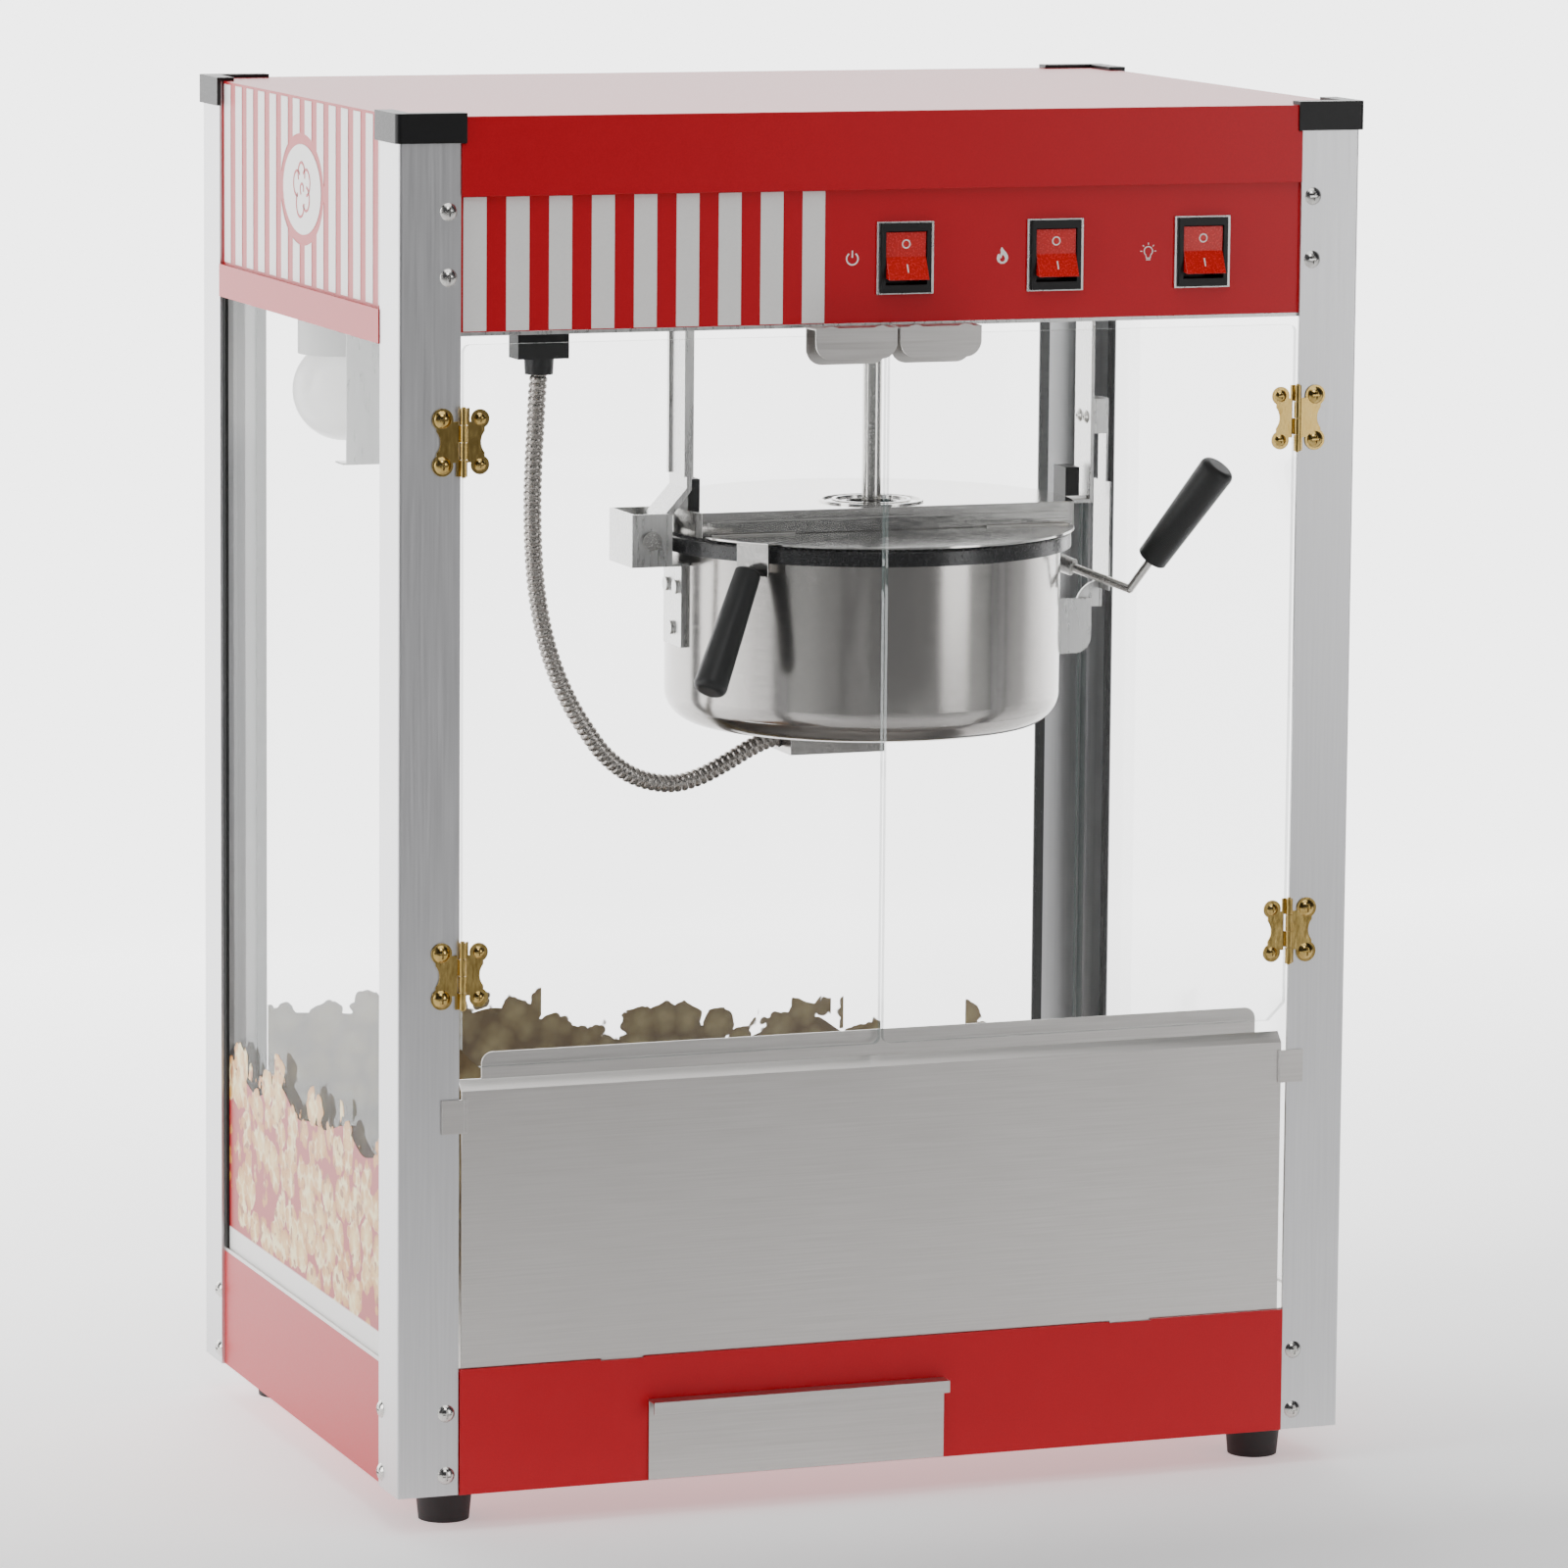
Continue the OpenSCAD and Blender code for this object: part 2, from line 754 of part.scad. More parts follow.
// Right bracket: a plate on the kettle's side, and the crank's boss
module bracket_right() {
    color(STEEL)
        difference() {
            union() {
                span([167, 173], [-14, 14], [441, 503]);
                bar([168, 15.7, 499], [186.5, -4, 491.3], 5, 5);
            }
            translate([pot_x, 0, 400]) cylinder(r = pot_r, h = 140, $fn = 128);
            bar(crank_a, crank_b, 2.5, 2.5);
        }
}

// A fin on the bracket's plate, beside the latch spring's ear
module latch_fin() {
    color(STEEL)
        upright(-2, 0) {
            translate([173, 441]) square([16, 32]);
            translate([173, 451]) square([26, 22]);
            translate([189, 451]) circle(10);
        }
}

module crank_rod() {
    color(STEEL) {
        bar(crank_a, crank_b, 2.5, 2.5);
        translate(crank_b) sphere(r = 2.6);
        bar(crank_b, crank_c + (crank_d - crank_c) * 0.5, 2.5, 2.5);
    }
}

module crank_grip() {
    color(BLACK)
        difference() {
            grip(crank_c, crank_d, 9, 10.5);
            bar(crank_b, crank_c + (crank_d - crank_c) * 0.5, 2.5, 2.5);
        }
}

// ------------------------------------------------------------ lid

// The part of the lid's outline behind or in front of a line across it
module lid_outline(r, y0, y1) {
    intersection() {
        circle(r, $fn = 128);
        translate([-200, y0]) square([400, y1 - y0]);
    }
}

// Fixed rear part of the lid: a raised pan with a stepped front edge and a hole for the shaft
module lid_plate() {
    color(STEEL)
        difference() {
            union() {
                translate([lid_x, 0, lid_low])
                    linear_extrude(lid_top - lid_low) lid_outline(lid_r, lid_y, 200);
                translate([lid_x, 0, lid_low + 5])
                    linear_extrude(4) lid_outline(lid_r - 3, lid_y - 1.5, 0);
                span([176, hang_r - 1], [-9, 9], [lid_top - 2, lid_top]);
                translate([shaft_x, 0, lid_top])
                    rotate_extrude() {
                        translate([20.5, -1]) square([2, 2.2]);
                        translate([28, -1]) square([2, 2]);
                    }
            }
            translate([lid_x, 0, lid_low - 1])
                linear_extrude(lid_top - lid_low) lid_outline(lid_r - 1, lid_y + 1, 200);
            translate([shaft_x, 0, lid_low - 5]) cylinder(r = 14.5, h = 40);
            span([lid_x - 200, lid_x + 200], [lid_y - 5, lid_y - 0.1], [lid_low, lid_low + 2.8]);
        }
}

// Heat-proof blocks between the lid and its hangers
module lid_blocks() {
    color(BLACK) {
        span([-51, -44], [-9, 9], [lid_top, 550]);
        span([179, 187.5], [-9, 9], [lid_top, 550]);
    }
}

// Hinged front part of the lid, with two hinge curls and a tab for the grip
module lid_flap() {
    u = grip_dir;
    color(STEEL) {
        translate([lid_x, 0, lid_low])
            linear_extrude(1.2) lid_outline(lid_r, -200, flap_y);
        translate([lid_x - 108, flap_y, lid_low + 1.2]) to_right() cylinder(r = 1.2, h = 50);
        translate([lid_x + 58, flap_y, lid_low + 1.2]) to_right() cylinder(r = 1.2, h = 50);
        translate([pot_x, 0, 0])
            rotate(atan2(u[1], u[0])) {
                span([100, 125.5], [-10, 10], [lid_low + 1, lid_low + 2.4]);
                span([124, 125.5], [-10, 10], [503, lid_low + 2]);
                span([124, 130], [-4, 4], [503, 504.5]);
            }
    }
}

module lid_grip() {
    color(BLACK)
        difference() {
            grip(grip_at, grip_end, 7.5, 9.5);
            translate([pot_x, 0, 0])
                rotate(atan2(grip_dir[1], grip_dir[0]))
                    span([110, 130.1], [-15, 15], [502.9, 530]);
        }
}

// ------------------------------------------------------------ stirrer, hangers and drive

// Stirrer: a shaft down from the gear motor, and two swept arms over the kettle's floor
module stirrer() {
    color(STEEL)
        translate([shaft_x, 0, 0]) {
            translate([0, 0, arm_z + 1]) cylinder(r = shaft_r, h = 689 - arm_z);
            for (a = [20, 200])
                rotate(a) {
                    span([4, stir_r - 1], [-1.2, 1.2], [arm_z, arm_z + 9]);
                    translate([stir_r * 0.55, 0, arm_z]) rotate(28) span([0, 26], [-1, 1], [0, 9]);
                }
        }
}

// Ribbed strip from the ceiling to a barrel around the kettle's pin
module hanger_left() {
    color(STEEL)
        difference() {
            union() {
                upright(-15, 15)
                    polygon([[hang_l - 1.5, 545.5], [hang_l - 1.5, ceil_z - 2],
                             [hang_l + 1.5, ceil_z - 2], [hang_l + 1.5, 544.4],
                             [swing_x + 4.2, swing_z + 1], [swing_x - 1, swing_z + 2]]);
                span([hang_l - 1.5, hang_l + 20], [-15, 15], [ceil_z - 4, ceil_z - 2]);
                for (y = [-15, 12])
                    span([hang_l - 3, hang_l + 2.5], [y, y + 3], [552, ceil_z - 2]);
                translate([swing_x, -15, swing_z]) to_rear() cylinder(r = 6.5, h = 30);
            }
            translate([swing_x, -20, swing_z]) to_rear() cylinder(r = pin_r + 0.05, h = 40);
        }
}

// Right strip, with a foot under the lid's end and a block for the latch spring
module hanger_right() {
    color(STEEL) {
        span([hang_r - 1, hang_r + 1], [-12, 12], [lid_top - 4, ceil_z - 2]);
        span([hang_r - 18, hang_r + 1], [-12, 12], [ceil_z - 4, ceil_z - 2]);
        span([179.5, hang_r + 1], [-12, 12], [lid_top - 4, lid_top - 2]);
        span([hang_r + 1, latch_x - 0.3], [-9, 9], [569, 589]);
    }
}

// Flat spring with a quarter-round ear beside the kettle's fin
module latch_spring() {
    color(STEEL) {
        span([latch_x, latch_x + 1.2], [-6, 6], [541, 589]);
        span([latch_x, latch_x + 1.2], [-12, 12], [478, 541]);
        upright(1, 2.5)
            intersection() {
                translate([latch_x + 0.5, 467.5]) circle(15.3);
                translate([190, 467.5]) square([latch_x + 0.5 - 190, 18]);
            }
        span([latch_x, latch_x + 1.2], [0.5, 3], [467.5, 479]);
    }
}

// Gear motor on the ceiling plate, bored for the stirrer shaft
module gear_motor() {
    color(STEEL)
        difference() {
            union() {
                span([28, 98], [-32, 32], [ceil_z, 690]);
                translate([shaft_x, 0, 689]) cylinder(r = 27, h = 58);
            }
            translate([shaft_x, 0, ceil_z - 1]) cylinder(r = shaft_r + 0.06, h = 42);
        }
}

module lamp_socket() {
    color(STEEL)
        translate([lamp[0], lamp[1], 0])
            difference() {
                translate([0, 0, 616]) cylinder(r = 26, h = ceil_z - 2 - 616);
                translate([0, 0, lamp[2]]) sphere(r = 29.5, $fn = 96);
                translate([0, 0, 610]) cylinder(r = 16.5, h = 35);
            }
}

module lamp_bulb() {
    color(WHITE)
        translate([lamp[0], lamp[1], 0]) {
            translate([0, 0, lamp[2]]) sphere(r = 29, $fn = 96);
            translate([0, 0, lamp[2] + 20]) cylinder(r1 = 16, r2 = 13, h = 30);
        }
}

// Bent guard in front of the lamp, with a tab under the bulb
module lamp_guard() {
    color(STEEL) {
        span([-231, -182], [61, 62], [556, ceil_z - 2]);
        span([-183, -182], [61.5, 130], [556, ceil_z - 2]);
        span([-233, -182.5], [61.5, 76], [556, 557]);
        span([-231, -182.5], [50, 62], [ceil_z - 3, ceil_z - 2]);
    }
}

module kettle_socket() {
    color(BLACK)
        span([-152, -122], [-8.5, 8.5], [636, ceil_z - 2]);
}

module kettle_plug() {
    color(BLACK)
        translate([-137, 0, 0])
            difference() {
                union() {
                    span([-15, 15], [-8.5, 8.5], [620, 636]);
                    translate([0, 0, 611]) cylinder(r1 = 8, r2 = 8.5, h = 9.5);
                }
                translate([0, 0, 605]) cylinder(r = conduit_d / 2, h = 13);
            }
}

// The tube's sides and the points of its route
sides = 10;
function dir(i) = let (a = route[max(i - 1, 0)], b = route[min(i + 1, len(route) - 1)])
    (b - a) / norm(b - a);
function ring(i) = let (d = dir(i))
    [for (k = [0:sides - 1])
        route[i] + conduit_d / 2 * (cos(k * 36) * [d[2], 0, -d[0]] + sin(k * 36) * [0, 1, 0])];

module conduit() {
    n = len(route);
    color(STEEL)
        polyhedron(
            points = [for (i = [0:n - 1]) each ring(i)],
            faces = concat(
                [[for (k = [0:sides - 1]) k]],
                [[for (k = [0:sides - 1]) (n - 1) * sides + sides - 1 - k]],
                [for (i = [0:n - 2], k = [0:sides - 1])
                    [i * sides + k, (i + 1) * sides + k, (i + 1) * sides + (k + 1) % sides]],
                [for (i = [0:n - 2], k = [0:sides - 1])
                    [i * sides + k, (i + 1) * sides + (k + 1) % sides, i * sides + (k + 1) % sides]]
            ));
}

post(-1, -1);  // post_front_left
post(1, -1);  // post_front_right
post(-1, 1);  // post_rear_left
post(1, 1);  // post_rear_right
corner_caps();
feet();
top_cover();
control_panel();
ceiling_plate();
side_headers();
rear_header();
header_stripes();
base_shell();
chamber_deck();
glass_sides();
glass_rear();
glass_gaskets();
popcorn_decals();
union() {
    frame_screws();
    hanger_screws();
}
hinge_frame_leaves();
lamp_socket();
lamp_bulb();
lamp_guard();
hanger_left();
hanger_right();
lid_plate();
lid_blocks();
gear_motor();
kettle_socket();
kettle_plug();
conduit();
switch_frames();
switch_bodies();
cable_gland();
front_panel();
panel_lip();
rocker(0);  // rocker_power
rocker(1);  // rocker_heat
rocker(2);  // rocker_light
drawer();
door(-1);  // door_left
handle(-1);  // handle_left
hinge_leaves(-1);  // hinge_leaves_left
door(1);  // door_right
handle(1);  // handle_right
hinge_leaves(1);  // hinge_leaves_right
pot();
pot_rim();
heater_cover();
heating_element();
bracket_left();
bracket_right();
latch_fin();
swing_pin();
crank_rod();
crank_grip();
lid_flap();
lid_grip();
stirrer();
latch_spring();
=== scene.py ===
import math

import bmesh
import bpy
from mathutils import Matrix, Vector


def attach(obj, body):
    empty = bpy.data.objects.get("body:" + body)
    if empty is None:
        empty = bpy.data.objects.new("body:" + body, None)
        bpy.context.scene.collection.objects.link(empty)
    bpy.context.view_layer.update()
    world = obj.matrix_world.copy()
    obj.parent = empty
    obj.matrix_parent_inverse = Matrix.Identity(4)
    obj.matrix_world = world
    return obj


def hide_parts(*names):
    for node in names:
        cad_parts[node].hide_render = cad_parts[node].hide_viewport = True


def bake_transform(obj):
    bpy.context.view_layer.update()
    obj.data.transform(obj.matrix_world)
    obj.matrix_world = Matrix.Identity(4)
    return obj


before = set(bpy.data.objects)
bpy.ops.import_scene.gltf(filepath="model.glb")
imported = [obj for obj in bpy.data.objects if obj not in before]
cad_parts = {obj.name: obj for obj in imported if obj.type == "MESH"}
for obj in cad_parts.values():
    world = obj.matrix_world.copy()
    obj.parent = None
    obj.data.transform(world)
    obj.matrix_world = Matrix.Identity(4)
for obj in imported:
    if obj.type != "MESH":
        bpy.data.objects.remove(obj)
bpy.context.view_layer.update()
MM = 0.001

# Camera: at the photograph's viewing angle
CAM_AT = Vector((-1.4656, -4.0209, 1.0151))
CAM_AZ, CAM_EL, CAM_ROLL = 20.43, 7.67, 0.5
CAM_LENS, CAM_SENSOR = 174.0, 36.0
CAM_SHIFT = (-0.0224, -0.073)

# Brightness of the paper behind the object, and the front edge of the bright floor in metres
PAPER = 4.2
GLOW_FRONT = -0.35

# Height of the fine grain on every finish, in metres
GRAIN_DEPTH = 0.0001

# The conduit's route, as in the CAD part, in millimetres
ROUTE = [
    (-137, 0, 612), (-138, 0, 600), (-139, 0, 580), (-140, 0, 560), (-140.5, 0, 540),
    (-140, 0, 515), (-138, 0, 490), (-134, 0, 467), (-127.5, 0, 445), (-118, 0, 424),
    (-106, 0, 405), (-96, 0, 392.5), (-83, 0, 382.5), (-69, 0, 377), (-54, 0, 375.5),
    (-39, 0, 379), (-24, 0, 386), (-9, 0, 394), (3, 0, 398.6), (13, 0, 400),
]
CONDUIT_D = 10.5
CONDUIT_SIDES = 20
RIB_PITCH = 3.8
RIB_DEPTH = 0.95

# Places shared with the CAD part, in millimetres
PANEL_Y = -188.0
SIDE_X = 276.0
SWITCH_Z = 688.0
SWITCH_X = {"power": 9.65, "heat": 97.5, "light": 184.8}
ICON_X = {"power": -20.8, "heat": 66.6, "light": 152.9}
OVAL_Y, OVAL_Z = -3.5, 717.0
ROCKER_Y, ROCKER_LEAN = -187.0, -12.0
ROCKER_HALF, ROCKER_RISE = 13.2, 3.0

# Thickness of the printed and moulded marks, in millimetres
ICON_INK, MARK_INK, EMBLEM_INK = 0.12, 0.1, 0.15

# Printed corn, in metres: the white strip's top, the rear pane's face, and the heap's top
STRIP_TOP = 0.103
REAR_FACE = 0.182
HEAP_LOW, HEAP_HIGH = 0.198, 0.222


# ---------------------------------------------------------------- node helpers

def node(nt, kind, **inputs):
    n = nt.nodes.new(kind)
    for key, value in inputs.items():
        n.inputs[key.replace("_", " ")].default_value = value
    return n


def place(nt, stretch=(1, 1, 1)):
    """Position on the piece in metres, stretched per axis."""
    tc = nt.nodes.new("ShaderNodeTexCoord")
    mp = nt.nodes.new("ShaderNodeMapping")
    mp.inputs["Scale"].default_value = stretch
    nt.links.new(tc.outputs["Object"], mp.inputs["Vector"])
    return mp.outputs["Vector"]


def noise(nt, scale, stretch=(1, 1, 1), detail=3.0):
    n = node(nt, "ShaderNodeTexNoise", Scale=scale, Detail=detail)
    nt.links.new(place(nt, stretch), n.inputs["Vector"])
    return n.outputs["Fac"]


def span(nt, value, low, high, to_low=0.0, to_high=1.0):
    n = node(nt, "ShaderNodeMapRange", From_Min=low, From_Max=high, To_Min=to_low, To_Max=to_high)
    nt.links.new(value, n.inputs["Value"])
    return n.outputs["Result"]


def math_node(nt, op, a, b=None):
    n = nt.nodes.new("ShaderNodeMath")
    n.operation = op
    for i, v in enumerate((a, b)):
        if v is None:
            continue
        if isinstance(v, (int, float)):
            n.inputs[i].default_value = v
        else:
            nt.links.new(v, n.inputs[i])
    return n.outputs[0]


def blend_colour(nt, fac, a, b):
    n = nt.nodes.new("ShaderNodeMix")
    n.data_type = "RGBA"
    nt.links.new(fac, n.inputs[0])
    for i, v in ((6, a), (7, b)):
        if isinstance(v, tuple):
            n.inputs[i].default_value = (*v, 1)
        else:
            nt.links.new(v, n.inputs[i])
    return n.outputs[2]


def worn_edges(nt, radius):
    """0 on flat faces, rising to 1 on sharp outer edges, and the rounded normal."""
    bevel = nt.nodes.new("ShaderNodeBevel")
    bevel.samples = 4
    bevel.inputs["Radius"].default_value = radius
    geo = nt.nodes.new("ShaderNodeNewGeometry")
    dot = nt.nodes.new("ShaderNodeVectorMath")
    dot.operation = "DOT_PRODUCT"
    nt.links.new(bevel.outputs["Normal"], dot.inputs[0])
    nt.links.new(geo.outputs["Normal"], dot.inputs[1])
    return span(nt, dot.outputs["Value"], 0.99, 0.8), bevel.outputs["Normal"]


def surface(name, colour, shade, rough, metal=0.0, grain=(400, (1, 1, 1)), bump=0.1,
            edge=None, edge_amount=0.5, radius=0.0005, rough_var=0.08, specular=0.5):
    """A finish with colour variation, grain in its roughness and bump, and worn edges."""
    m = bpy.data.materials.new(name)
    m.use_nodes = True
    nt = m.node_tree
    bsdf = nt.nodes["Principled BSDF"]
    g = noise(nt, *grain)
    broad = noise(nt, 9, (1, 1, 1), 2.0)
    col = blend_colour(nt, span(nt, g, 0.3, 0.7), shade, colour)
    col = blend_colour(nt, span(nt, broad, 0.35, 0.75, 0.0, 0.35), col, shade)
    mask, normal = worn_edges(nt, radius)
    if edge:
        broken = math_node(nt, "MULTIPLY", mask, span(nt, noise(nt, 160), 0.35, 0.6, 0.2, 1.0))
        col = blend_colour(nt, math_node(nt, "MULTIPLY", broken, edge_amount), col, edge)
    nt.links.new(col, bsdf.inputs["Base Color"])
    r = span(nt, g, 0.25, 0.75, rough - rough_var, rough + rough_var)
    nt.links.new(r, bsdf.inputs["Roughness"])
    bsdf.inputs["Metallic"].default_value = metal
    bsdf.inputs["Specular IOR Level"].default_value = specular
    b = node(nt, "ShaderNodeBump", Strength=bump, Distance=GRAIN_DEPTH)
    nt.links.new(g, b.inputs["Height"])
    nt.links.new(normal, b.inputs["Normal"])
    nt.links.new(b.outputs["Normal"], bsdf.inputs["Normal"])
    return m


def clear_pane(name, across, haze):
    """A clear sheet with faint smears, whose cut edges are greener and less clear."""
    m = bpy.data.materials.new(name)
    m.use_nodes = True
    nt = m.node_tree
    bsdf = nt.nodes["Principled BSDF"]
    geo = nt.nodes.new("ShaderNodeNewGeometry")
    split = nt.nodes.new("ShaderNodeSeparateXYZ")
    nt.links.new(geo.outputs["True Normal"], split.inputs[0])
    facing = math_node(nt, "ABSOLUTE", split.outputs[across])
    cut = span(nt, facing, 0.7, 0.3)
    smear = noise(nt, 6, (1, 1, 0.4), 3.0)
    weight = nt.nodes.new("ShaderNodeLayerWeight")
    weight.inputs["Blend"].default_value = 0.25
    gloss = span(nt, weight.outputs["Fresnel"], 0.0, 0.6, 0.02, haze)
    gloss = math_node(nt, "ADD", gloss, span(nt, smear, 0.4, 0.7, 0.0, 0.01))
    alpha = math_node(nt, "MAXIMUM", gloss, math_node(nt, "MULTIPLY", cut, 0.5))
    nt.links.new(alpha, bsdf.inputs["Alpha"])
    nt.links.new(blend_colour(nt, cut, (0.92, 0.94, 0.93), (0.16, 0.22, 0.21)),
                 bsdf.inputs["Base Color"])
    nt.links.new(math_node(nt, "SUBTRACT", 1.0, cut), bsdf.inputs["Metallic"])
    nt.links.new(span(nt, smear, 0.3, 0.7, 0.02, 0.07), bsdf.inputs["Roughness"])
    b = node(nt, "ShaderNodeBump", Strength=0.02, Distance=0.0005)
    nt.links.new(smear, b.inputs["Height"])
    nt.links.new(b.outputs["Normal"], bsdf.inputs["Normal"])
    return m


def kernel_cells(nt, where):
    """Large cells for the kernels, and a height that falls from each lobe to the gaps."""
    wobble = node(nt, "ShaderNodeTexNoise", Scale=95, Detail=2.0)
    nt.links.new(where, wobble.inputs["Vector"])
    offset = nt.nodes.new("ShaderNodeVectorMath")
    offset.operation = "MULTIPLY_ADD"
    offset.inputs[1].default_value = (0.004, 0.004, 0.004)
    nt.links.new(wobble.outputs["Color"], offset.inputs[0])
    nt.links.new(where, offset.inputs[2])
    big = node(nt, "ShaderNodeTexVoronoi", Scale=56, Randomness=0.7)
    small = node(nt, "ShaderNodeTexVoronoi", Scale=150, Randomness=1.0)
    for v in (big, small):
        nt.links.new(offset.outputs[0], v.inputs["Vector"])
    lobes = math_node(nt, "ADD", big.outputs["Distance"],
                      math_node(nt, "MULTIPLY", small.outputs["Distance"], 0.28))
    return big, small, lobes


def kernel_colour(nt, small, lobes):
    """Yellow corn with darker lobes and brown spots, and red between the kernels."""
    cream = blend_colour(nt, span(nt, lobes, 0.25, 0.72), (0.88, 0.66, 0.24), (0.62, 0.24, 0.02))
    pale = span(nt, small.outputs["Distance"], 0.45, 0.75)
    hull = blend_colour(nt, pale, cream, (0.94, 0.80, 0.42))
    spots = blend_colour(nt, span(nt, noise(nt, 130), 0.60, 0.66), hull, (0.40, 0.13, 0.02))
    return blend_colour(nt, span(nt, lobes, 0.76, 0.82), spots, (0.42, 0.005, 0.01))


def heap_cover(nt, big, lobes, at, rear):
    """1 where the heap is printed and 0 on the clear film over its top."""
    centre = nt.nodes.new("ShaderNodeSeparateXYZ")
    nt.links.new(big.outputs["Position"], centre.inputs[0])
    line = noise(nt, 16, (1, 1, 0.0), 0.0)
    top = span(nt, line, 0.3, 0.7, HEAP_LOW, HEAP_HIGH)
    lean = math_node(nt, "MULTIPLY", math_node(nt, "ADD", at.outputs["X"], -0.02), 0.10)
    top = math_node(nt, "SUBTRACT", top, math_node(nt, "MULTIPLY", lean, rear))
    whole = math_node(nt, "LESS_THAN", centre.outputs["Z"], top)
    upper = math_node(nt, "GREATER_THAN", at.outputs["Z"], math_node(nt, "SUBTRACT", top, 0.014))
    edge_gap = math_node(nt, "MULTIPLY", upper, span(nt, lobes, 0.72, 0.76))
    return math_node(nt, "MAXIMUM", math_node(nt, "SUBTRACT", whole, edge_gap), 0.0)


def popcorn_print(name):
    """A printed heap of popped corn over a plain white strip, with painted shade on the rear pane:
    darker, duller colours there stand in for the dimming of being seen through two panes of glass.
    """
    m = bpy.data.materials.new(name)
    m.use_nodes = True
    nt = m.node_tree
    bsdf = nt.nodes["Principled BSDF"]
    where = place(nt)
    big, small, lobes = kernel_cells(nt, where)
    body = kernel_colour(nt, small, lobes)
    at = nt.nodes.new("ShaderNodeSeparateXYZ")
    nt.links.new(where, at.inputs[0])
    rear = span(nt, at.outputs["Y"], REAR_FACE - 0.002, REAR_FACE + 0.002)
    # painted shade: the heap on the rear pane is coloured darker and duller, as if dimmed behind two
    # panes of glass
    rear_painted_shade = blend_colour(nt, span(nt, lobes, 0.25, 0.85), (0.50, 0.40, 0.19), (0.20, 0.13, 0.05))
    body = blend_colour(nt, rear, body, rear_painted_shade)
    strip = span(nt, at.outputs["Z"], STRIP_TOP - 0.0005, STRIP_TOP + 0.0005, 1.0, 0.0)
    strip = math_node(nt, "MULTIPLY", strip, math_node(nt, "SUBTRACT", 1.0, rear))
    nt.links.new(blend_colour(nt, strip, body, (0.88, 0.87, 0.85)), bsdf.inputs["Base Color"])
    bsdf.inputs["Roughness"].default_value = 0.38
    nt.links.new(heap_cover(nt, big, lobes, at, rear), bsdf.inputs["Alpha"])
    b = node(nt, "ShaderNodeBump", Strength=0.1, Distance=0.0002)
    nt.links.new(noise(nt, 900), b.inputs["Height"])
    nt.links.new(b.outputs["Normal"], bsdf.inputs["Normal"])
    return m


def see_through(name, colour, alpha, rough, transmission=0.0):
    """A tinted moulding with a fine grain, for the rockers and the bulb."""
    m = surface(name, colour, tuple(0.8 * c for c in colour), rough, grain=(900, (1, 1, 1)),
                bump=0.15, edge=tuple(min(1.0, c + 0.25) for c in colour), edge_amount=0.35)
    bsdf = m.node_tree.nodes["Principled BSDF"]
    bsdf.inputs["Alpha"].default_value = alpha
    bsdf.inputs["Transmission Weight"].default_value = transmission
    return m


# ---------------------------------------------------------------- mesh helpers

def piece(name, bm, mat, body, smooth=False):
    me = bpy.data.meshes.new(name)
    bmesh.ops.recalc_face_normals(bm, faces=bm.faces)
    bm.to_mesh(me)
    bm.free()
    for p in me.polygons:
        p.use_smooth = smooth
    ob = bpy.data.objects.new(name, me)
    bpy.context.scene.collection.objects.link(ob)
    me.materials.append(mat)
    if body:
        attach(ob, body)
    return ob


def prism(bm, outline, place_at, thick, hole=None):
    """A flat shape of that thickness: the outline in millimetres, put in place by place_at."""
    loops = [outline] + ([hole] if hole else [])
    rings = []
    for loop in loops:
        low = [bm.verts.new(place_at(u, v, 0.0)) for u, v in loop]
        high = [bm.verts.new(place_at(u, v, thick)) for u, v in loop]
        rings.append((low, high))
        n = len(loop)
        for i in range(n):
            bm.faces.new((low[i], low[(i + 1) % n], high[(i + 1) % n], high[i]))
    if hole:
        (lo, hi), (li, ih) = rings
        n = len(outline)
        for i in range(n):
            j = (i + 1) % n
            bm.faces.new((lo[i], lo[j], li[j], li[i]))
            bm.faces.new((hi[i], hi[j], ih[j], ih[i]))
    else:
        bm.faces.new(rings[0][0])
        bm.faces.new(rings[0][1])


def arc(r, a0, a1, n, cx=0.0, cy=0.0):
    return [(cx + r * math.cos(math.radians(a0 + (a1 - a0) * i / n)),
             cy + r * math.sin(math.radians(a0 + (a1 - a0) * i / n))) for i in range(n + 1)]


def stroke(points, width):
    """The outline of an open line drawn with that width."""
    left, right = [], []
    for i, p in enumerate(points):
        a = Vector(points[max(i - 1, 0)])
        b = Vector(points[min(i + 1, len(points) - 1)])
        d = (b - a).normalized()
        n = Vector((-d.y, d.x)) * width / 2
        left.append((p[0] + n.x, p[1] + n.y))
        right.append((p[0] - n.x, p[1] - n.y))
    return left + right[::-1]


def on_front(x, z):
    """Puts a flat shape on the control panel, standing out by its thickness."""
    return lambda u, v, t: Vector(((x + u) * MM, (PANEL_Y - 0.02 - t) * MM, (z + v) * MM))


def on_side(sx):
    """The same on the left (-1) or right (1) header face."""
    return lambda u, v, t: Vector((sx * (SIDE_X + 0.2 + t) * MM, (OVAL_Y - sx * u) * MM,
                                   (OVAL_Z + v) * MM))


# ---------------------------------------------------------------- camera, light and floor

